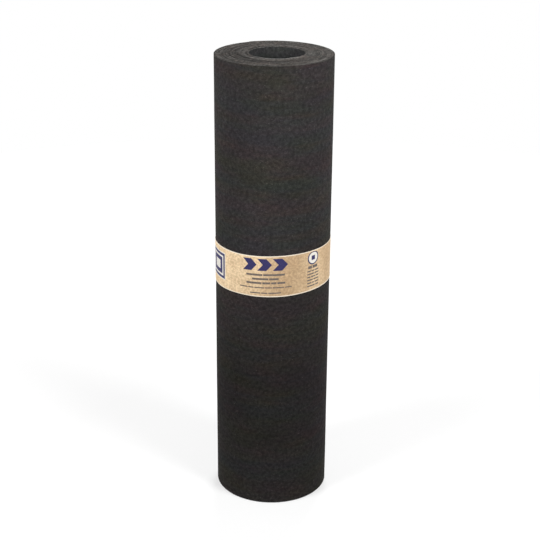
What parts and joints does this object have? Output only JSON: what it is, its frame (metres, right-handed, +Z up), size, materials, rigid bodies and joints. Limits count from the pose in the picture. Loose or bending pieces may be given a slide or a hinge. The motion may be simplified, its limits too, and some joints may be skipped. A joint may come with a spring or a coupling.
{
  "type": "roll of roofing felt",
  "caption": "Roll of asphalt-saturated roofing felt standing on its end, wound on itself round an open bore, with a paper label band.",
  "frame": {"origin": "on the floor, at the centre of the roll's bottom end", "axes": "+Z up along the roll's axis, -Y towards the front, where the middle of the label band's print is, +X to the right of it"},
  "size_m": [0.2297, 0.2308, 0.9144],
  "materials": {
    "felt": "matt charcoal asphalt-saturated felt, a little paler and dusty on the cut ends",
    "label_paper": "uncoated kraft paper with dark blue print"
  },
  "bodies": {
    "root": {"felt_roll": "felt", "label_band": "label_paper"}
  },
  "joints": []
}
